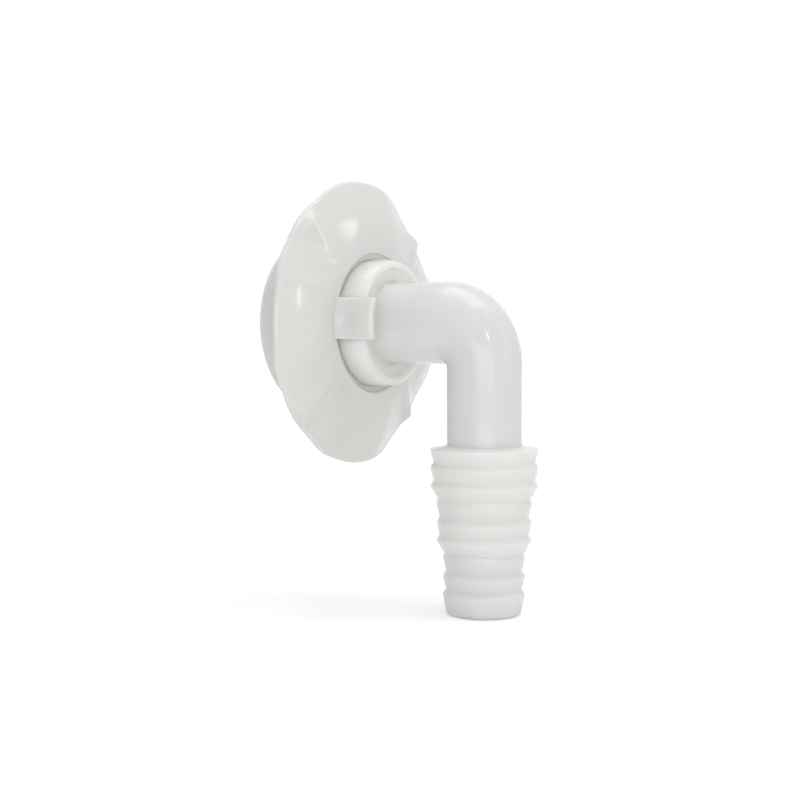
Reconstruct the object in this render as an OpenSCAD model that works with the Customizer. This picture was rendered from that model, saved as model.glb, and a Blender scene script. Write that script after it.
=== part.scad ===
// Drain adapter: a right-angle hose tail held to a waste fitting by a captive union nut.
// The origin is the centre of the nut's open mouth. +X runs along the inlet towards the
// elbow, +Z is up and the hose tail points down. Millimetres throughout.

/* [Reach] */
// Distance from the nut's mouth to the axis of the hose tail
reach = 54; // [50:1:60]
// Distance from the inlet axis down to the open end of the hose tail
drop = 73.6; // [72:0.2:85]

/* [Union nut] */
// Wall diameter of the threaded bore, taken at the crests of the thread
thread_bore_d = 38.95; // [38.5:0.05:39.5]
// Length of the threaded bore, from the mouth to the washer's pocket
thread_length = 8.2; // [7:0.2:9]
// Diameter of the plain pocket that holds the washer and the elbow's flange
pocket_d = 38.5; // [38.4:0.05:38.6]
// Distance from the mouth to the web
web_x = 13.6; // [13:0.2:14.4]
// Outside diameter of the sleeve around the thread
sleeve_d = 45.4; // [44.5:0.1:47]
// Distance from the mouth to the front of the hub
hub_x = 21.4; // [21:0.2:23]
// Thickness of the web that pulls on the elbow's flange
web_t = 2.2; // [1.8:0.1:3]
// Diameter of the opening in the front of the hub
hub_bore_d = 36.6; // [36:0.2:38]
// Turn of the nut away from square, seen from the front
nut_turn = 4; // [0:1:45]

/* [Lobed flange] */
// Diameter across two opposite lobes
lobe_d = 74.6; // [70:0.2:80]
// Diameter across the bottoms of two opposite valleys
valley_d = 71.4; // [68:0.2:74]
// Diameter across two opposite ridges
ridge_d = 68.6; // [66:0.2:71]
// Fall from the hub to the rim, down the middle of a lobe
lobe_fall = 5.6; // [4:0.2:7]
// Fall from the hub to the rim, down a valley
valley_fall = 7.2; // [6:0.2:9]
// Fall from the hub to the rim, along a ridge
ridge_fall = 3; // [2:0.2:4]
// Wall thickness of the flange, measured along the inlet axis
flange_t = 1.8; // [1.4:0.1:2.4]

/* [Snap fingers] */
// Width of each finger
finger_w = 10.6; // [8:0.2:12]
// How far each finger stands in front of the hub
finger_reach = 10.2; // [9.6:0.2:11]
// Distance that each hook reaches over the rim of the cup
hook_catch = 0.8; // [0.5:0.1:1]

/* [Elbow] */
// Outside diameter of the leg along the inlet
inlet_leg_d = 21; // [20:0.1:22]
// Bore of the leg along the inlet
inlet_bore_d = 16.6; // [15.5:0.1:17.5]
// Outside diameter of the leg down to the hose tail
outlet_leg_d = 19; // [18.4:0.1:19.4]
// Bore of the leg down to the hose tail
outlet_bore_d = 14.8; // [14:0.1:15.4]
// Radius of the inner corner of the bend
corner_r = 0.8; // [0.6:0.1:2]
// Diameter of the flange that the nut pulls on
flange_d = 37.8; // [37:0.1:38]
// Thickness of that flange
seat_t = 2.6; // [2:0.1:3]

/* [Cup] */
// Outside diameter of the cup that the nut turns on
cup_d = 31.4; // [31:0.1:32]
// Wall thickness of the cup
cup_t = 1.4; // [1:0.1:1.6]
// Distance from the nut's mouth to the rim of the cup
cup_rim_x = 27.5; // [27:0.1:28]
// Depth of the recess between the cup and the leg
recess_depth = 10; // [8:0.2:11]

/* [Hose tail] */
// Crest diameters of the three steps, for hoses of 25, 22 and 19 mm
step_ds = [27.3, 23.8, 20.7];
// Number of barbs on each step
barbs_per_step = 3; // [2:1:3]
// Distance from one barb to the next
barb_pitch = 4.6; // [4.4:0.1:4.8]
// Height of a barb above the valley beneath it
barb_h = 0.75; // [0.5:0.05:1]
// Distance from the inlet axis down to the first crest
first_crest_drop = 31.8; // [31:0.2:33]

/* [Sealing washer] */
// Outside diameter of the washer
washer_d = 38.2; // [37:0.1:38.5]
// Inside diameter of the washer
washer_bore_d = 27; // [24:0.5:29]
// Thickness of the washer
washer_t = 2.5; // [2:0.1:3]

/* [Hidden] */

$fn = 96;
plastic_colour = [0.93, 0.93, 0.92];
rubber_colour = [0.22, 0.22, 0.23];

// Clearance between the web and the cup that turns in it
turn_gap = 0.08;
// Clearance between faces of the nut and the elbow that pass each other
free_gap = 0.2;
// Overlap that fuses two shapes of one moulding
fuse = 0.4;

flange_front_x = web_x - free_gap;
seat_x = flange_front_x - seat_t;
hub_bore_x = web_x + web_t;

// Angles around the flange, measured from the middle of a lobe to the ridge beside it
lobe_half = 23;
valley_start = 33;
valley_end = 37;
ridge_at = 45;
lobe_pitch = 90;

// Grid of the flange: sections around it, and rows from the hub to the rim
sections = 120;
rows = 8;
rim_rows = 3;
// The flange starts inside the hub bore, which then trims it to a true circle
start_r = hub_bore_d / 2 - 0.8;

// Smooth step from 0 at a to 1 at b
function ease(a, b, v) =
    let (u = min(1, max(0, (v - a) / (b - a))))
    u * u * (3 - 2 * u);

// Value at an angle around the flange, eased from lobe to valley to ridge
function around(angle, lobe, valley, ridge) =
    let (
        nearest = lobe_pitch * round(angle / lobe_pitch),
        off = abs(angle - nearest),
        to_valley = ease(lobe_half, valley_start, off),
        to_ridge = ease(valley_end, ridge_at, off)
    )
    lobe + (valley - lobe) * to_valley + (ridge - valley) * to_ridge;

function rim_r(angle) = around(angle, lobe_d, valley_d, ridge_d) / 2;
function rim_fall(angle) = around(angle, lobe_fall, valley_fall, ridge_fall);
// Lobes swell before they fall away, valleys and ridges run nearly straight
function swell(angle) = around(angle, 2.4, 1.4, 1.2);

// Height of the flange's front face, along X, at an angle and a distance from the axis
function front_x(angle, r) =
    let (
        inner = hub_bore_d / 2,
        u = max(0, (r - inner) / (rim_r(angle) - inner))
    )
    hub_x - rim_fall(angle) * pow(u, swell(angle));

// Outline of the flange cut at one angle: front face, rounded rim, rear face
function flange_section(angle) =
    let (
        round_r = flange_t / 2,
        last_r = rim_r(angle) - round_r,
        radii = [for (i = [0 : rows]) start_r + (last_r - start_r) * i / rows],
        rim_x = front_x(angle, last_r) - round_r
    )
    concat(
        [for (r = radii) [r, front_x(angle, r)]],
        [for (k = [1 : rim_rows])
            let (turn = 180 * k / (rim_rows + 1))
            [last_r + round_r * sin(turn), rim_x + round_r * cos(turn)]],
        [for (i = [rows : -1 : 0]) [radii[i], front_x(angle, radii[i]) - flange_t]]
    );

// Closed skin through all the sections, joined end to end around the axis
module flange_shell() {
    ring = 2 * (rows + 1) + rim_rows;
    points = [
        for (s = [0 : sections - 1])
        let (angle = 360 * s / sections)
        for (p = flange_section(angle))
        [p[1], p[0] * sin(angle), p[0] * cos(angle)]
    ];
    faces = [
        for (s = [0 : sections - 1])
        for (k = [0 : ring - 1])
        let (
            here = s * ring,
            next = ((s + 1) % sections) * ring,
            after = (k + 1) % ring
        )
        each [
            [here + k, next + after, next + k],
            [here + k, here + after, next + after]
        ]
    ];
    polyhedron(points = points, faces = faces, convexity = 6);
}

// Round bar along X from one station to another
module bar_x(from, to, d) {
    translate([from, 0, 0])
        rotate([0, 90, 0])
            cylinder(d = d, h = to - from);
}

// Ring around X, turned from a half section of [station, radius] points
module turned_x(section) {
    rotate([0, 90, 0])
        rotate_extrude()
            polygon([for (p = section) [p[1], p[0]]]);
}

// Two hooked tongues that snap over the rim of the cup
module snap_fingers() {
    inner = cup_d / 2 + free_gap;
    root_r = hub_bore_d / 2 + free_gap;
    tip_r = root_r - 1;
    hook_r = cup_d / 2 - hook_catch;
    end_x = hub_x + finger_reach;
    catch_x = cup_rim_x + free_gap;
    intersection() {
        turned_x([
            [hub_bore_x - fuse, inner],
            [catch_x, inner],
            [catch_x, hook_r],
            [end_x - 0.6, hook_r],
            [end_x, hook_r + 0.6],
            [end_x, tip_r - 0.3],
            [end_x - 0.3, tip_r],
            [hub_x - 0.4, root_r],
            [hub_bore_x - fuse, root_r]
        ]);
        translate([hub_bore_x - 1, -lobe_d / 2, -finger_w / 2])
            cube([end_x - hub_bore_x + 2, lobe_d, finger_w]);
    }
}

module lobed_union_nut() {
    sleeve_end_x = hub_x - flange_t + 0.3;
    // Chamfer that guides the waste fitting into the thread
    lead_in = 0.4;
    color(plastic_colour)
        rotate([-nut_turn, 0, 0])
            union() {
                difference() {
                    union() {
                        flange_shell();
                        turned_x([
                            [0, sleeve_d / 2 - 0.5],
                            [0.5, sleeve_d / 2],
                            [sleeve_end_x, sleeve_d / 2],
                            [sleeve_end_x, cup_d / 2],
                            [web_x, cup_d / 2],
                            [web_x, pocket_d / 2 - fuse],
                            [0, pocket_d / 2 - fuse]
                        ]);
                    }
                    bar_x(-1, thread_length, thread_bore_d);
                    bar_x(thread_length - 1, web_x, pocket_d);
                    bar_x(web_x - 1, hub_x + 1, cup_d + 2 * turn_gap);
                    bar_x(hub_bore_x, hub_x + 1, hub_bore_d);
                    turned_x([
                        [-1, 0],
                        [-1, thread_bore_d / 2 + lead_in + 1],
                        [lead_in + 1, thread_bore_d / 2 - 1],
                        [lead_in + 1, 0]
                    ]);
                }
                snap_fingers();
            }
}

// Bend from the inlet leg to the slimmer outlet leg, as rings swept about the inner corner
module bend() {
    sides = 64;
    rings = 15;
    // The rings stand this much outside both legs, so the legs end within them
    cover = 0.02;
    corner_x = reach - outlet_leg_d / 2 - corner_r;
    corner_z = -inlet_leg_d / 2 - corner_r;
    points = [
        for (i = [0 : rings])
        let (
            turn = 90 * i / rings,
            r = (inlet_leg_d + (outlet_leg_d - inlet_leg_d) * ease(0, 90, turn)) / 2,
            centre = corner_r + r
        )
        for (k = [0 : sides - 1])
        let (
            side = 360 * k / sides,
            out = centre + (r + cover) * cos(side)
        )
        [corner_x + out * sin(turn), (r + cover) * sin(side), corner_z + out * cos(turn)]
    ];
    skin = [
        for (i = [0 : rings - 1])
        for (k = [0 : sides - 1])
        let (
            here = i * sides,
            after = (k + 1) % sides
        )
        each [
            [here + k, here + after, here + sides + after],
            [here + k, here + sides + after, here + sides + k]
        ]
    ];
    start_cap = [for (k = [sides - 1 : -1 : 0]) k];
    end_cap = [for (k = [0 : sides - 1]) rings * sides + k];
    polyhedron(points = points, faces = concat([start_cap], skin, [end_cap]), convexity = 4);
}

// Half section of the hose tail: three steps of barbs, each ramp falling to the next step
module hose_tail() {
    leg_r = outlet_leg_d / 2;
    barbs = barbs_per_step * len(step_ds);
    land = 0.3;
    ramp = 0.64;
    end_round = 1;
    crests = [for (i = [0 : barbs - 1]) step_ds[floor(i / barbs_per_step)] / 2];
    // A ramp that ends a step falls most of the way to the next crest
    valleys = [
        for (i = [0 : barbs - 1])
        i == barbs - 1 ? leg_r + 0.1
        : crests[i + 1] < crests[i] ? crests[i + 1] - 0.25
        : crests[i] - barb_h
    ];
    steps = [
        for (i = [0 : barbs - 1])
        let (z = -first_crest_drop - i * barb_pitch)
        each [
            [crests[i], z],
            [crests[i], z - land],
            [valleys[i], z - barb_pitch * ramp]
        ]
    ];
    translate([reach, 0, 0])
        rotate_extrude()
            polygon(concat(
                [[0, -first_crest_drop + 1.2], [leg_r, -first_crest_drop + 1.2]],
                steps,
                [
                    [leg_r, -drop + end_round],
                    for (k = [1 : 4])
                    let (turn = 90 * k / 4)
                    [leg_r - end_round + end_round * cos(turn), -drop + end_round - end_round * sin(turn)],
                    [0, -drop]
                ]
            ));
}

// Bore through both legs, swept round the bend at the bore of the outlet leg
module waterway() {
    bend_r = outlet_leg_d / 2 + corner_r;
    corner_x = reach - bend_r;
    neck = 4;
    bar_x(seat_x - 1, corner_x - neck, inlet_bore_d);
    turned_x([
        [corner_x - neck, 0],
        [corner_x - neck, inlet_bore_d / 2],
        [corner_x, outlet_bore_d / 2],
        [corner_x, 0]
    ]);
    translate([corner_x, 0, -bend_r])
        rotate([90, 0, 0])
            rotate_extrude(angle = 90)
                translate([bend_r, 0])
                    circle(d = outlet_bore_d);
    translate([reach, 0, -drop - 1])
        cylinder(d = outlet_bore_d, h = drop + 1 - bend_r);
}

module elbow_hose_tail() {
    corner_x = reach - outlet_leg_d / 2 - corner_r;
    corner_z = -inlet_leg_d / 2 - corner_r;
    recess_x = cup_rim_x - recess_depth;
    inside_r = cup_d / 2 - cup_t;
    color(plastic_colour)
        difference() {
            union() {
                turned_x([
                    [seat_x, 0],
                    [seat_x, flange_d / 2 - 0.4],
                    [seat_x + 0.4, flange_d / 2],
                    [flange_front_x, flange_d / 2],
                    [flange_front_x, cup_d / 2],
                    [cup_rim_x - 0.3, cup_d / 2],
                    [cup_rim_x, cup_d / 2 - 0.3],
                    [cup_rim_x, inside_r],
                    [recess_x, inside_r - 0.2],
                    [recess_x, inlet_leg_d / 2],
                    [corner_x, inlet_leg_d / 2],
                    [corner_x, 0]
                ]);
                bend();
                translate([reach, 0, -first_crest_drop])
                    cylinder(d = outlet_leg_d, h = first_crest_drop + corner_z);
                hose_tail();
            }
            waterway();
        }
}

module sealing_washer() {
    color(rubber_colour)
        difference() {
            bar_x(seat_x - washer_t, seat_x, washer_d);
            bar_x(seat_x - washer_t - 1, seat_x + 1, washer_bore_d);
        }
}

lobed_union_nut();
elbow_hose_tail();
sealing_washer();
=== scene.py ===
import math

import bpy
from mathutils import Matrix, Vector


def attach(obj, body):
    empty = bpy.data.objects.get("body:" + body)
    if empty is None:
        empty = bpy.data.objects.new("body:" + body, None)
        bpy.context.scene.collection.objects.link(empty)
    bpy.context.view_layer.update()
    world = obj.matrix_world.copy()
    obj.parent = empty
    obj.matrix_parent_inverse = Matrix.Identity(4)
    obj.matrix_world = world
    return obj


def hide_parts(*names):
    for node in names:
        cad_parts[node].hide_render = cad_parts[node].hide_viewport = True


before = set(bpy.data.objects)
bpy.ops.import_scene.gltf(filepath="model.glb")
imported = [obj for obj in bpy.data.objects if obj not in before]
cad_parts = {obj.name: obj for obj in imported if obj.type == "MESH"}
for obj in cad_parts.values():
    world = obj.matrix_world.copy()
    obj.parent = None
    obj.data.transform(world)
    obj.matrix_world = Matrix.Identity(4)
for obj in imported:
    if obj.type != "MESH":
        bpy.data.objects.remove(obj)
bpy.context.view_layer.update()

MM = 0.001

# Sizes are in millimetres. X runs along the inlet from the nut's mouth, Z is up, and _R is a radius

# Whole adapter: from the mouth to the outlet's axis, and from the inlet's axis to the tail's end
REACH = 54.0
DROP = 73.6

# Sleeve of the nut: a fine groove runs round its mouth, and its plain wall ends just behind the flange
SLEEVE_R = 22.7
SLEEVE_ROUND = 0.5
SLEEVE_END_BACK = 0.9
GROOVE_FROM_X = 1.2
GROOVE_TO_X = 1.9
GROOVE_SLOPE = 0.15
GROOVE_DEPTH = 0.22
GROOVE_ROUND = 0.1

# G 1 1/4 thread, which starts and ends inside the sleeve
THREAD_MINOR_R = 19.475
THREAD_MAJOR_R = 20.955
THREAD_PITCH = 2.309
THREAD_FROM_X = 1.7
THREAD_RUN = 7.0
THREAD_ROOT = 1.95
THREAD_CREST = 0.45
THREAD_BURIED = 0.15
THREAD_END_X = 8.0
MOUTH_CHAMFER = 0.5

# Pocket, web and hub of the nut
POCKET_X = 8.4
POCKET_R = 19.25
WEB_X = 13.6
WEB_END_X = 20.1
WEB_BORE_R = 16.53
HUB_X = 21.4
HUB_BORE_R = 18.3
HUB_EDGE = 1.0

# Degrees that the nut is turned round the inlet, as the photo shows it
NUT_TURN = 4.0

# Flange: its outline, and how far it falls back from the hub's face
FLANGE_T = 1.8
RIM_ROUND = FLANGE_T / 2
LOBE_R = 37.1
LOBE_HALF_ANGLE = 19
VALLEY_R = 35.9
VALLEY_FROM_ANGLE = 33
LOBE_FALL = 5.0
BOWL_POWER = 2.2
PANEL_HALF = 8.2
FLANK_FALL = 2.5
FLANK_RUN = 10.0
FLANK_SOFT = 0.5
FLANK_FULL_SHARE = 0.45

# Diagonal ribs on the flange, round near the hub and sharp near the step at their tips
RIB_ANGLE = 45
RIB_TIP_R = 34.6
RIB_STEP_IN = 0.4
RIB_STEP_OUT = 1.3
RIB_FALL = 3.6
RIB_POWER = 1.1
RIB_HALF = 4.4
RIB_ROUND_R = 28
RIB_SHARP_R = 34
RIB_SOFT = 0.02

# Snap fingers: rooted in the web and hub, flared at the foot, with a sloped nose to slip over the rim
FINGER_HALF = 5.3
FINGER_REACH = 10.2
FINGER_GAP = 0.2
FINGER_SUNK = 0.4
FINGER_BURIED = 1.6
FINGER_FOOT = 0.6
FINGER_FLARE = 3.4
FINGER_TAPER = 0.3
FINGER_BEVEL = 0.3
HOOK_CATCH = 0.4
NOSE_LENGTH = 2.4
NOSE_RISE = 1.6

# Elbow: legs, bend, and the flange and cup that the nut holds
INLET_R = 10.5
INLET_BORE_R = 8.3
OUTLET_R = 9.5
OUTLET_BORE_R = 7.4
CORNER_R = 0.8
SEAT_X = 10.8
SEAT_FRONT_X = 13.4
SEAT_R = 18.9
CUP_R = 16.5
CUP_SHOULDER_X = 24.6
CUP_LIP_BACK = 0.6
CUP_LIP_IN = 0.4
CUP_RIM_X = 27.5
CUP_RIM_R = 15.3
CUP_INSIDE_R = 14.3
RECESS_X = 25.6
RECESS_IN = 0.2
INLET_CHAMFER = 0.3
OUTLET_CHAMFER = 0.2
OUTLET_FACE_IN = 0.3

# Straight rings beside the bend: ahead of it on the inlet leg and in its bore, and above the first crest
INLET_END_BACK = 6
INLET_BORE_END_BACK = 4
OUTLET_START_BACK = 8

# Hose tail: three steps of three barbs, for hoses of 25, 22 and 19 mm. A crest is flat from just above
# its place to just below it, and each step's last valley lies just inside the next step's crests
FIRST_CREST = 31.8
STEP_CRESTS = [13.65, 12.05, 10.4]
BARBS_PER_STEP = 3
BARB_PITCH = 4.6
BARB_HEIGHT = 0.75
BARB_SLOPE_SHARE = 0.72
CREST_ABOVE = 0.15
CREST_BELOW = 0.2
TAIL_WIDENS_ABOVE = 1.0
STEP_VALLEY_IN = 0.25
LAST_VALLEY_OUT = 0.35

# Sealing washer
WASHER_T = 2.5
WASHER_R = 19.1
WASHER_BORE_R = 13.5
WASHER_MIDDLE_R = 16
WASHER_ROUND = 0.25

# Points round each piece, and steps round the bend
NUT_SIDES = 360
FINGER_SIDES = 180
ELBOW_SIDES = 128
WASHER_SIDES = 128
BEND_STEPS = 24

# Points closer than this are merged, in one drawn skin and where two skins have grown together
SKIN_GAP = 0.002
SEAM_GAP = 0.0005

# Edges that turn by more than this many degrees stay crisp, on a drawn skin and on a joined one
CRISP = 40
JOINED_CRISP = 35

# Two lengths or turns that differ by less than this are the same
SAME = 1e-9


# Small helpers

def only(*objects):
    """Leaves just these objects selected, with the first one active."""
    if bpy.context.mode != "OBJECT":
        bpy.ops.object.mode_set(mode="OBJECT")
    bpy.ops.object.select_all(action="DESELECT")
    for o in objects:
        o.select_set(True)
    bpy.context.view_layer.objects.active = objects[0] if objects else None


def edit_all(o):
    """Opens the object in edit mode with its whole mesh selected."""
    only(o)
    bpy.ops.object.mode_set(mode="EDIT")
    bpy.ops.mesh.select_all(action="SELECT")


def apply_modifiers(o):
    only(o)
    for m in list(o.modifiers):
        bpy.ops.object.modifier_apply(modifier=m.name)


def settle(o):
    """Puts the object's place into its mesh."""
    only(o)
    bpy.ops.object.transform_apply(location=True, rotation=True, scale=True)


def close_and_face_out(o, gap=SKIN_GAP):
    """Merges points closer than the gap and turns all faces outwards."""
    edit_all(o)
    bpy.ops.mesh.remove_doubles(threshold=gap * MM)
    bpy.ops.mesh.normals_make_consistent(inside=False)
    bpy.ops.object.mode_set(mode="OBJECT")


def smooth(o, angle):
    """Shades smooth, and keeps edges that turn by more than this angle crisp."""
    only(o)
    bpy.ops.object.shade_smooth_by_angle(angle=math.radians(angle))


def grow_together(o, other):
    """Makes one closed skin of two pieces that are moulded as one."""
    m = o.modifiers.new("one moulding", "BOOLEAN")
    m.operation = "UNION"
    m.solver = "EXACT"
    m.object = other
    apply_modifiers(o)
    only(other)
    bpy.ops.object.delete()
    close_and_face_out(o, SEAM_GAP)
    smooth(o, JOINED_CRISP)


def ease(a, b, v):
    """Rises softly from 0 at a to 1 at b."""
    u = min(1.0, max(0.0, (v - a) / (b - a)))
    return u * u * (3 - 2 * u)


def rounded(corners, steps=3):
    """A profile of (station, radius, fillet) corners, with an arc drawn at each fillet.

    A fillet takes just under half of a side at most, so that two of them never meet.
    """
    most = 0.49
    points = []
    last = len(corners) - 1
    for i, (s, r, fillet) in enumerate(corners):
        here = Vector((s, r))
        if fillet <= 0 or i in (0, last):
            points.append((s, r))
            continue
        back = Vector(corners[i - 1][:2]) - here
        ahead = Vector(corners[i + 1][:2]) - here
        half = back.angle(ahead) / 2
        reach = min(fillet / math.tan(half), back.length * most, ahead.length * most)
        start = here + back.normalized() * reach
        end = here + ahead.normalized() * reach
        for k in range(steps + 1):
            t = k / steps
            p = start * (1 - t) ** 2 + here * 2 * t * (1 - t) + end * t * t
            points.append((p.x, p.y))
    return points


def along_inlet(profile):
    """Rings round the inlet axis: (centre, turn about Y in degrees, radius)."""
    return [((s, 0.0, 0.0), 0.0, r) for s, r in profile]


def draw_rings(name, sides, rings):
    """Draws a circle out into a tube: each ring is extruded, scaled and turned from the last."""
    only()
    centre, turn, radius = rings[0]
    bpy.ops.mesh.primitive_circle_add(
        vertices=sides, radius=radius * MM, fill_type="NOTHING",
        location=Vector(centre) * MM, rotation=(0, math.radians(90 + turn), 0))
    o = bpy.context.object
    o.name = name
    settle(o)
    bpy.ops.object.mode_set(mode="EDIT")
    bpy.ops.mesh.select_mode(type="EDGE")
    bpy.ops.mesh.select_all(action="SELECT")
    for next_centre, next_turn, next_radius in rings[1:]:
        step = (Vector(next_centre) - Vector(centre)) * MM
        here = Vector(next_centre) * MM
        bpy.ops.mesh.extrude_region_move(TRANSFORM_OT_translate={"value": step})
        if abs(next_radius - radius) > SAME:
            k = next_radius / radius
            bpy.ops.transform.resize(value=(k, k, k), center_override=here)
        if abs(next_turn - turn) > SAME:
            # The operator counts a turn about Y the other way, so the angle is negative
            angle = -math.radians(next_turn - turn)
            bpy.ops.transform.rotate(value=angle, orient_axis="Y", center_override=here)
        centre, turn, radius = next_centre, next_turn, next_radius
    bpy.ops.object.mode_set(mode="OBJECT")
    return o


# Union nut

def off_lobe(angle):
    """Degrees from the middle of the nearest lobe."""
    return abs(angle - 90 * round(angle / 90))


def rim_r(angle):
    """Radius of the flange's outline."""
    return LOBE_R + (VALLEY_R - LOBE_R) * ease(LOBE_HALF_ANGLE, VALLEY_FROM_ANGLE, off_lobe(angle))


def bowl(angle, r):
    """Fall of the flange from the hub: a flat panel down each lobe, with flanks to the valleys."""
    u = max(0.0, (r - HUB_BORE_R) / (rim_r(angle) - HUB_BORE_R))
    beyond = r * math.sin(math.radians(off_lobe(angle))) - PANEL_HALF
    flank = (beyond + math.hypot(beyond, FLANK_SOFT)) / 2
    flank_fall = FLANK_FALL * (1 - math.exp(-flank / FLANK_RUN)) * ease(0, FLANK_FULL_SHARE, u)
    return LOBE_FALL * u ** BOWL_POWER + flank_fall


def rib(angle, r):
    """Height of the diagonal rib over the bowl."""
    across = r * math.sin(math.radians(RIB_ANGLE - off_lobe(angle)))
    if across > RIB_HALF or r <= HUB_BORE_R:
        return 0.0
    u = (r - HUB_BORE_R) / (RIB_TIP_R - HUB_BORE_R)
    crest = bowl(RIB_ANGLE, r) - RIB_FALL * u ** RIB_POWER
    crest *= 1 - ease(RIB_TIP_R - RIB_STEP_IN, RIB_TIP_R + RIB_STEP_OUT, r)
    aside = across / RIB_HALF
    round_top = math.cos(math.pi / 2 * aside) ** 2
    sharp_top = max(0.0, math.sqrt(1 + RIB_SOFT) - math.sqrt(aside ** 2 + RIB_SOFT))
    sharp = ease(RIB_ROUND_R, RIB_SHARP_R, r)
    return max(0.0, crest) * (round_top + (sharp_top - round_top) * sharp)


def wave_flange(o, sides, kinds):
    """Pulls the flange's plain rings to its panels, valleys and ribs.

    Each ring has a kind: None, or the side it lies on and its share of the way along that side.
    """
    for v in o.data.vertices:
        kind = kinds[v.index // sides]
        if kind is None:
            continue
        side, share = kind
        angle = math.degrees(math.atan2(v.co.y, v.co.z))
        outer = rim_r(angle) - RIM_ROUND
        if side == "front":
            r = HUB_BORE_R + share * (outer - HUB_BORE_R)
            x = HUB_X - bowl(angle, r) + rib(angle, r)
        elif side == "back":
            r = SLEEVE_R + share * (outer - SLEEVE_R)
            x = HUB_X - FLANGE_T - bowl(angle, r)
        else:
            turn = math.pi * share
            r = outer + RIM_ROUND * math.sin(turn)
            x = HUB_X - bowl(angle, outer) - RIM_ROUND + RIM_ROUND * math.cos(turn)
        a = math.radians(angle)
        v.co = Vector((x, r * math.sin(a), r * math.cos(a))) * MM


def nut_shell():
    """Sleeve, flange, hub and web, drawn from the pocket round the mouth to the pocket again.

    The flange is drawn as plain rings first, and wave_flange then gives them their shape.
    """
    back_rows = 12
    rim_rows = 6
    front_rows = 22
    edge_r = LOBE_R - RIM_ROUND
    groove_r = SLEEVE_R - GROOVE_DEPTH
    profile = rounded([
        (POCKET_X, POCKET_R, 0), (THREAD_END_X, THREAD_MAJOR_R, 0),
        (MOUTH_CHAMFER, THREAD_MAJOR_R, 0), (0.0, THREAD_MAJOR_R + MOUTH_CHAMFER, 0),
        (0.0, SLEEVE_R, SLEEVE_ROUND), (GROOVE_FROM_X, SLEEVE_R, GROOVE_ROUND),
        (GROOVE_FROM_X + GROOVE_SLOPE, groove_r, GROOVE_ROUND),
        (GROOVE_TO_X - GROOVE_SLOPE, groove_r, GROOVE_ROUND),
        (GROOVE_TO_X, SLEEVE_R, GROOVE_ROUND), (HUB_X - FLANGE_T - SLEEVE_END_BACK, SLEEVE_R, 0)])
    kinds = [None] * len(profile)
    for i in range(back_rows + 1):
        share = i / back_rows
        r = SLEEVE_R + share * (edge_r - SLEEVE_R)
        profile.append((HUB_X - FLANGE_T - bowl(0, r), r))
        kinds.append(("back", share))
    for i in range(rim_rows - 1, 0, -1):
        share = i / rim_rows
        r = edge_r + RIM_ROUND * math.sin(math.pi * share)
        profile.append((HUB_X - LOBE_FALL - RIM_ROUND + RIM_ROUND * math.cos(math.pi * share), r))
        kinds.append(("rim", share))
    for i in range(front_rows, -1, -1):
        r = HUB_BORE_R + HUB_EDGE + i / front_rows * (edge_r - HUB_BORE_R - HUB_EDGE)
        profile.append((HUB_X - bowl(0, r), r))
        kinds.append(("front", (r - HUB_BORE_R) / (edge_r - HUB_BORE_R)))
    inside = rounded([
        (HUB_X, HUB_BORE_R + HUB_EDGE, 0), (HUB_X, HUB_BORE_R, 0.6), (WEB_END_X, HUB_BORE_R, 0.5),
        (WEB_END_X, WEB_BORE_R, 0.1), (WEB_X, WEB_BORE_R, 0.25), (WEB_X, POCKET_R, 0.3),
        (POCKET_X, POCKET_R, 0)])
    profile += inside[1:]
    kinds += [None] * (len(inside) - 1)
    o = draw_rings("union_nut", NUT_SIDES, along_inlet(profile))
    wave_flange(o, NUT_SIDES, kinds)
    close_and_face_out(o)
    # The shell's own crisp edges stay marked when the thread and the fingers grow onto it
    smooth(o, CRISP)
    return o


def thread_ridge():
    """The female thread: one ridge wound inwards from the sleeve's wall.

    It fades over a share of its run at both ends, and leaves out the first part of each fade.
    """
    wall_r = THREAD_MAJOR_R + THREAD_BURIED
    turns = THREAD_RUN / THREAD_PITCH
    steps_per_turn = 96
    fade_share = 0.09
    fade_left_out = 0.03
    only()
    bpy.ops.mesh.primitive_plane_add(size=1, location=(0, 0, 0))
    o = bpy.context.object
    o.name = "thread"
    # A plane's points run in rows, so its outline is drawn in the order 0, 1, 3, 2
    section = [
        (0, -THREAD_ROOT / 2, wall_r), (1, THREAD_ROOT / 2, wall_r),
        (3, THREAD_CREST / 2, THREAD_MINOR_R), (2, -THREAD_CREST / 2, THREAD_MINOR_R)]
    for index, s, r in section:
        o.data.vertices[index].co = Vector((THREAD_FROM_X + s, 0, r)) * MM
    m = o.modifiers.new("wind", "SCREW")
    m.axis = "X"
    m.angle = math.radians(360 * turns)
    m.screw_offset = THREAD_RUN * MM
    m.steps = m.render_steps = int(steps_per_turn * turns)
    m.use_merge_vertices = False
    apply_modifiers(o)
    for v in o.data.vertices:
        x, y, z = v.co / MM
        r = math.hypot(y, z)
        along = (x - THREAD_FROM_X) / THREAD_RUN
        height = ease(0, fade_share, min(along, 1 - along) + fade_left_out)
        k = (wall_r + (r - wall_r) * height) / r
        v.co = Vector((x, y * k, z * k)) * MM
    edit_all(o)
    bpy.ops.mesh.fill_holes(sides=0)
    close_and_face_out(o)
    return o


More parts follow.
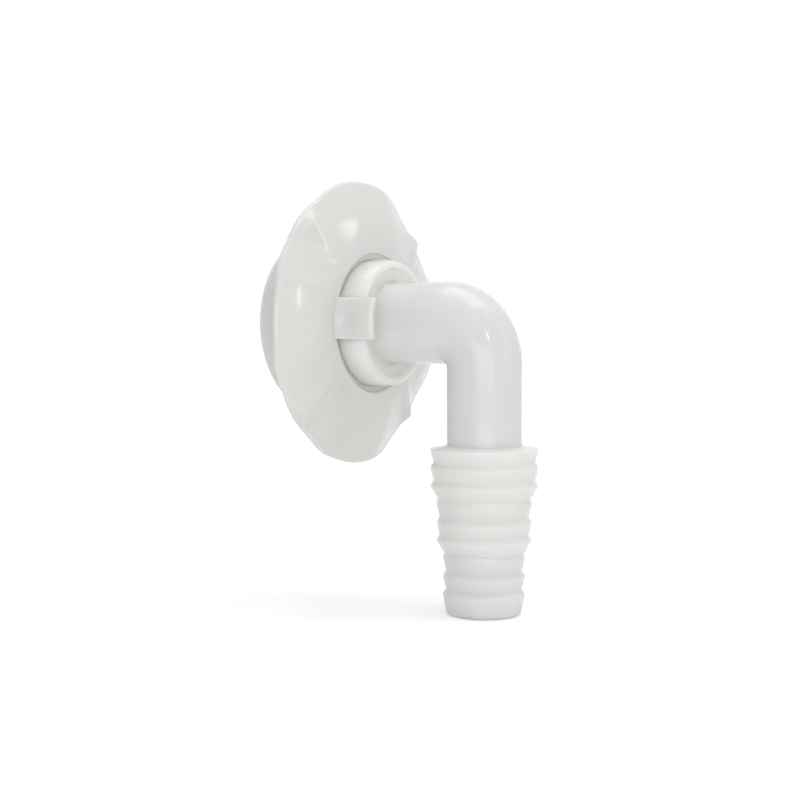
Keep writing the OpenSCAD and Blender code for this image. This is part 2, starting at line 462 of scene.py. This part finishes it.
def snap_fingers():
    """Two hooked fingers that rise from the hub's face and catch over the cup's rim."""
    inner = CUP_R + FINGER_GAP
    outer = HUB_BORE_R
    buried = HUB_BORE_R + FINGER_BURIED
    hook = CUP_RIM_R - HOOK_CATCH
    end = HUB_X + FINGER_REACH
    catch = CUP_RIM_X + FINGER_GAP
    root = WEB_END_X - FINGER_SUNK
    section = rounded([
        (root, inner, 0), (catch, inner, 0.2), (catch, hook, 0.15), (end - NOSE_LENGTH, hook, 0.5),
        (end, hook + NOSE_RISE, 0.3), (end, outer - FINGER_TAPER, 1.1),
        (HUB_X + FINGER_FLARE, outer, 8.0), (HUB_X - FINGER_FOOT, buried, 0),
        (root, buried, 0), (root, inner, 0)], steps=5)
    o = draw_rings("fingers", FINGER_SIDES, along_inlet(section))
    close_and_face_out(o)
    for side in (-1, 1):
        edit_all(o)
        bpy.ops.mesh.bisect(
            plane_co=(0, 0, side * FINGER_HALF * MM), plane_no=(0, 0, side),
            use_fill=True, clear_outer=True)
        bpy.ops.object.mode_set(mode="OBJECT")
    close_and_face_out(o)
    m = o.modifiers.new("soft edges", "BEVEL")
    m.width = FINGER_BEVEL * MM
    m.segments = 2
    m.limit_method = "ANGLE"
    m.angle_limit = math.radians(50)
    apply_modifiers(o)
    return o


def union_nut():
    """Shell, thread and fingers as one moulding, turned a little round the inlet as in the photo."""
    o = nut_shell()
    grow_together(o, thread_ridge())
    grow_together(o, snap_fingers())
    o.rotation_euler = (math.radians(-NUT_TURN), 0, 0)
    settle(o)
    return o


# Elbow with hose tail

def tail_profile():
    """(drop, radius, fillet) down the outside of the hose tail."""
    barbs = BARBS_PER_STEP * len(STEP_CRESTS)
    crests = [STEP_CRESTS[i // BARBS_PER_STEP] for i in range(barbs)]
    corners = [(FIRST_CREST - TAIL_WIDENS_ABOVE, OUTLET_R, 0.3)]
    for i, crest in enumerate(crests):
        down = FIRST_CREST + i * BARB_PITCH
        if i == barbs - 1:
            valley = OUTLET_R + LAST_VALLEY_OUT
        elif crests[i + 1] < crest:
            valley = crests[i + 1] - STEP_VALLEY_IN
        else:
            valley = crest - BARB_HEIGHT
        corners.append((down - CREST_ABOVE, crest, 0.15))
        corners.append((down + CREST_BELOW, crest, 0.15))
        corners.append((down + BARB_PITCH * BARB_SLOPE_SHARE, valley, 0.3))
    corners.append((DROP, OUTLET_R, 1.0))
    return corners


def elbow():
    """Flange, cup, inlet leg, bend and tail on the way out, and the bores on the way back."""
    # The bend turns about this corner, which is CORNER_R clear of both legs
    corner_x = REACH - OUTLET_R - CORNER_R
    corner_z = -INLET_R - CORNER_R
    outside = rounded([
        (SEAT_X, INLET_BORE_R + INLET_CHAMFER, 0), (SEAT_X, SEAT_R, 0.4), (SEAT_FRONT_X, SEAT_R, 0.2),
        (SEAT_FRONT_X, CUP_R, 0.5), (CUP_SHOULDER_X, CUP_R, 2.5),
        (CUP_RIM_X - CUP_LIP_BACK, CUP_R - CUP_LIP_IN, 1.0), (CUP_RIM_X, CUP_RIM_R, 0.6),
        (CUP_RIM_X, CUP_INSIDE_R, 0.3), (RECESS_X, CUP_INSIDE_R - RECESS_IN, 0.8),
        (RECESS_X, INLET_R, 1.2), (corner_x - INLET_END_BACK, INLET_R, 0)])
    rings = along_inlet(outside)
    for i in range(BEND_STEPS + 1):
        turn = 90 * i / BEND_STEPS
        a = math.radians(turn)
        r = INLET_R + (OUTLET_R - INLET_R) * ease(0, 90, turn)
        arm = CORNER_R + r
        rings.append(((corner_x + arm * math.sin(a), 0, corner_z + arm * math.cos(a)), turn, r))
    top = (FIRST_CREST - OUTLET_START_BACK, OUTLET_R, 0)
    bottom = (DROP, OUTLET_BORE_R + OUTLET_FACE_IN, 0)
    tail = rounded([top] + tail_profile() + [bottom])
    rings += [((REACH, 0, -s), 90, r) for s, r in tail]
    rings.append(((REACH, 0, -DROP), 90, OUTLET_BORE_R + OUTLET_CHAMFER))
    rings.append(((REACH, 0, -DROP + OUTLET_CHAMFER), 90, OUTLET_BORE_R))
    arm = OUTLET_R + CORNER_R
    for i in range(BEND_STEPS, -1, -1):
        turn = 90 * i / BEND_STEPS
        a = math.radians(turn)
        centre = (corner_x + arm * math.sin(a), 0, -arm + arm * math.cos(a))
        rings.append((centre, turn, OUTLET_BORE_R))
    rings.append(((corner_x - INLET_BORE_END_BACK, 0, 0), 0, INLET_BORE_R))
    rings.append(((SEAT_X + INLET_CHAMFER, 0, 0), 0, INLET_BORE_R))
    rings.append(((SEAT_X, 0, 0), 0, INLET_BORE_R + INLET_CHAMFER))
    o = draw_rings("hose_tail_elbow", ELBOW_SIDES, rings)
    close_and_face_out(o)
    smooth(o, CRISP)
    return o


# Sealing washer

def washer():
    """A flat ring behind the elbow's seat, drawn from the middle of one face round to it again."""
    back = SEAT_X - WASHER_T
    section = rounded([
        (SEAT_X, WASHER_MIDDLE_R, 0), (SEAT_X, WASHER_BORE_R, WASHER_ROUND),
        (back, WASHER_BORE_R, WASHER_ROUND), (back, WASHER_R, WASHER_ROUND),
        (SEAT_X, WASHER_R, WASHER_ROUND), (SEAT_X, WASHER_MIDDLE_R, 0)])
    o = draw_rings("washer", WASHER_SIDES, along_inlet(section))
    close_and_face_out(o)
    smooth(o, CRISP)
    return o


# Materials

# Sockets of a colour Mix node: its two colours and its result
MIX_FROM = 6
MIX_TO = 7
MIX_RESULT = 2


def linear(code):
    """sRGB hex to linear RGBA."""
    out = []
    for i in (1, 3, 5):
        v = int(code[i:i + 2], 16) / 255
        out.append(v / 12.92 if v <= 0.04045 else ((v + 0.055) / 1.055) ** 2.4)
    return (*out, 1.0)


def cells(size):
    """Noise scale, in whole cells to a metre, at which a cell is this many millimetres across."""
    return float(round(1 / (size * MM)))


def add_node(tree, kind, links=(), **settings):
    """Adds a node, sets its sockets and properties by name, and links its inputs."""
    n = tree.nodes.new(kind)
    for key, value in settings.items():
        if key in n.inputs:
            n.inputs[key].default_value = value
        else:
            setattr(n, key, value)
    for socket, source in links:
        tree.links.new(source, n.inputs[socket])
    return n


def new_material(name):
    m = bpy.data.materials.new(name)
    m.use_nodes = True
    m.node_tree.nodes.clear()
    return m, m.node_tree


def moulded_polypropylene(name, light, shade, depth, smoothest, roughest):
    # Natural white polypropylene, injection moulded: milky, because light goes a few millimetres in,
    # with faint clouds 18 mm across where the melt flowed. The skin is satin, and its real ripple is
    # finer than a pixel, so it is drawn 2.4 mm wide
    m, t = new_material(name)
    where = add_node(t, "ShaderNodeTexCoord").outputs["Object"]
    cloud = add_node(
        t, "ShaderNodeTexNoise", [("Vector", where)], Scale=cells(18.2), Detail=3.0, Roughness=0.5)
    tone = add_node(t, "ShaderNodeMix", [("Factor", cloud.outputs["Fac"])], data_type="RGBA")
    tone.inputs[MIX_FROM].default_value = linear(light)
    tone.inputs[MIX_TO].default_value = linear(shade)
    skin = add_node(t, "ShaderNodeTexNoise", [("Vector", where)], Scale=cells(2.38), Detail=2.0)
    rough = add_node(t, "ShaderNodeMapRange", [("Value", skin.outputs["Fac"])])
    rough.inputs["To Min"].default_value = smoothest
    rough.inputs["To Max"].default_value = roughest
    bump = add_node(
        t, "ShaderNodeBump", [("Height", skin.outputs["Fac"])], Strength=0.06, Distance=0.2 * MM)
    shader = add_node(t, "ShaderNodeBsdfPrincipled", [
        ("Base Color", tone.outputs[MIX_RESULT]), ("Roughness", rough.outputs["Result"]),
        ("Normal", bump.outputs["Normal"])])
    shader.inputs["IOR"].default_value = 1.49
    shader.inputs["Subsurface Weight"].default_value = 1.0
    shader.inputs["Subsurface Radius"].default_value = (1.0, 0.98, 0.93)
    shader.inputs["Subsurface Scale"].default_value = depth * MM
    add_node(t, "ShaderNodeOutputMaterial", [("Surface", shader.outputs[0])])
    return m


def moulded_rubber(name):
    # Dark grey nitrile rubber, pressed flat in a mould: dull, with a fine pale bloom. Its real grain
    # is finer than a pixel, so it is drawn 1.1 mm wide
    m, t = new_material(name)
    where = add_node(t, "ShaderNodeTexCoord").outputs["Object"]
    grain = add_node(t, "ShaderNodeTexNoise", [("Vector", where)], Scale=cells(1.111), Detail=4.0)
    tone = add_node(t, "ShaderNodeMix", [("Factor", grain.outputs["Fac"])], data_type="RGBA")
    tone.inputs[MIX_FROM].default_value = linear("#343436")
    tone.inputs[MIX_TO].default_value = linear("#434345")
    bump = add_node(
        t, "ShaderNodeBump", [("Height", grain.outputs["Fac"])], Strength=0.25, Distance=0.1 * MM)
    shader = add_node(t, "ShaderNodeBsdfPrincipled", [
        ("Base Color", tone.outputs[MIX_RESULT]), ("Normal", bump.outputs["Normal"])])
    shader.inputs["Roughness"].default_value = 0.62
    add_node(t, "ShaderNodeOutputMaterial", [("Surface", shader.outputs[0])])
    return m


def seen_rays(tree):
    """1 for rays that show the background: camera, glossy and transmission rays."""
    path = add_node(tree, "ShaderNodeLightPath")
    direct = add_node(tree, "ShaderNodeMath", operation="MAXIMUM")
    tree.links.new(path.outputs["Is Camera Ray"], direct.inputs[0])
    tree.links.new(path.outputs["Is Glossy Ray"], direct.inputs[1])
    seen = add_node(tree, "ShaderNodeMath", operation="MAXIMUM")
    tree.links.new(direct.outputs[0], seen.inputs[0])
    tree.links.new(path.outputs["Is Transmission Ray"], seen.inputs[1])
    return seen.outputs[0]


def studio_white(name):
    # White paper sweep: near the object it takes the light and the shadow. From 0.25 to 1.1 m off less
    # and less light falls, so there it glows more, but only for the rays that see it
    m, t = new_material(name)
    paper = add_node(t, "ShaderNodeBsdfDiffuse")
    paper.inputs["Color"].default_value = linear("#F8F8F8")
    where = add_node(t, "ShaderNodeTexCoord").outputs["Object"]
    away = add_node(t, "ShaderNodeVectorMath", [("Vector", where)], operation="LENGTH")
    lift = add_node(t, "ShaderNodeMapRange", [("Value", away.outputs["Value"])])
    lift.inputs["From Min"].default_value = 0.25
    lift.inputs["From Max"].default_value = 1.1
    lift.inputs["To Min"].default_value = 0.37
    lift.inputs["To Max"].default_value = 0.60
    shown = add_node(t, "ShaderNodeMath", operation="MULTIPLY")
    t.links.new(lift.outputs["Result"], shown.inputs[0])
    t.links.new(seen_rays(t), shown.inputs[1])
    glow = add_node(t, "ShaderNodeEmission", [("Strength", shown.outputs[0])])
    glow.inputs["Color"].default_value = (1, 1, 1, 1)
    both = add_node(t, "ShaderNodeAddShader")
    t.links.new(paper.outputs[0], both.inputs[0])
    t.links.new(glow.outputs[0], both.inputs[1])
    add_node(t, "ShaderNodeOutputMaterial", [("Surface", both.outputs[0])])
    return m


def dress(o, material):
    o.data.materials.clear()
    o.data.materials.append(material)


# Pieces

nut = union_nut()
# The nut's tones are set darker than the elbow's as painted shade: its thin, milky flange takes in more
# light than the legs, and the darker colour evens that out
dress(nut, moulded_polypropylene(
    "moulded_polypropylene_nut", light="#EAEAE8", shade="#E6E6E4",
    depth=2.0, smoothest=0.13, roughest=0.18))
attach(nut, "nut")
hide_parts("lobed_union_nut")

tail = elbow()
dress(tail, moulded_polypropylene(
    "moulded_polypropylene_elbow", light="#F5F5F2", shade="#F1F1EE",
    depth=4.0, smoothest=0.15, roughest=0.19))
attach(tail, "elbow")
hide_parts("elbow_hose_tail")

seal = washer()
dress(seal, moulded_rubber("moulded_rubber"))
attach(seal, "elbow")
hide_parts("sealing_washer")


# Studio

FLOOR_SIDE = 6000
FLOOR_GAP = 0.2

only()
bpy.ops.mesh.primitive_plane_add(size=FLOOR_SIDE * MM, location=(0, 0, -(DROP + FLOOR_GAP) * MM))
floor = bpy.context.object
floor.name = "floor"
settle(floor)
dress(floor, studio_white("studio_paper"))


def studio_world():
    """Even white light from all round, and plain white where the background is seen."""
    world = bpy.data.worlds.new("studio")
    bpy.context.scene.world = world
    world.use_nodes = True
    t = world.node_tree
    t.nodes.clear()
    sky = add_node(t, "ShaderNodeBackground", Strength=0.46)
    sky.inputs["Color"].default_value = (1, 1, 1, 1)
    white = add_node(t, "ShaderNodeBackground", Strength=1.0)
    white.inputs["Color"].default_value = (1, 1, 1, 1)
    pick = add_node(t, "ShaderNodeMixShader", [("Fac", seen_rays(t))])
    t.links.new(sky.outputs[0], pick.inputs[1])
    t.links.new(white.outputs[0], pick.inputs[2])
    add_node(t, "ShaderNodeOutputWorld", [("Surface", pick.outputs[0])])


def direction(azimuth, height):
    """Unit vector from the object: azimuth from -Y towards +X, and height over the floor, in degrees."""
    a = math.radians(azimuth)
    e = math.radians(height)
    return Vector((math.sin(a) * math.cos(e), -math.cos(a) * math.cos(e), math.sin(e)))


def lamp(name, azimuth, height, distance, size, power):
    """A soft box that faces the middle of the object: distance and size in metres, power in watts."""
    middle = Vector((0.03, 0, -0.02))
    away = distance * direction(azimuth, height)
    data = bpy.data.lights.new(name, "AREA")
    data.shape = "RECTANGLE"
    data.size, data.size_y = size
    data.energy = power
    o = bpy.data.objects.new(name, data)
    bpy.context.scene.collection.objects.link(o)
    o.location = middle + away
    o.rotation_euler = (-away).to_track_quat("-Z", "Y").to_euler()


def photo_camera():
    """Looks as the photo does: the two legs' axes meet at corner_px of an 800 pixel frame.

    px_per_mm is the photo's scale at the outlet leg.
    """
    azimuth = 33.0
    pitch = 3.05
    frame_px = 800
    focal_px = 1500.0
    px_per_mm = 3.974
    corner_px = (484.15, 322.6)
    sensor = 36
    back = direction(azimuth, pitch)
    right = Vector((math.cos(math.radians(azimuth)), math.sin(math.radians(azimuth)), 0))
    up = right.cross(-back)
    distance = focal_px / px_per_mm
    across = (corner_px[0] + 0.5 - frame_px / 2) / focal_px * distance
    below = (corner_px[1] + 0.5 - frame_px / 2) / focal_px * distance
    eye = Vector((REACH, 0, 0)) + back * distance - right * across + up * below
    data = bpy.data.cameras.new("camera")
    data.sensor_width = sensor
    data.lens = focal_px / frame_px * sensor
    data.clip_start = 0.01
    data.clip_end = 20
    o = bpy.data.objects.new("camera", data)
    bpy.context.scene.collection.objects.link(o)
    turned = Matrix((right, up, back)).transposed().to_4x4()
    o.matrix_world = Matrix.Translation(eye * MM) @ turned
    bpy.context.scene.camera = o


studio_world()
lamp("front_box", 32, 5, 1.1, (1.2, 0.35), 2.8)
lamp("top_box", 175, 80, 1.0, (0.9, 0.6), 3.2)
# Small lamps for the bright streaks on the bend and on the flange's lobes
lamp("key_box", 55, 20, 0.9, (0.035, 0.30), 0.15)
lamp("key_spot", 57, 29, 0.9, (0.05, 0.05), 0.26)
lamp("bend_box", 70, 72, 0.9, (0.07, 0.07), 0.14)
lamp("high_strip", 115.5, 26, 0.8, (0.018, 0.10), 0.09)
lamp("side_strip", 100, 11, 0.8, (0.02, 0.12), 0.15)
photo_camera()
bpy.context.scene.view_settings.view_transform = "Standard"
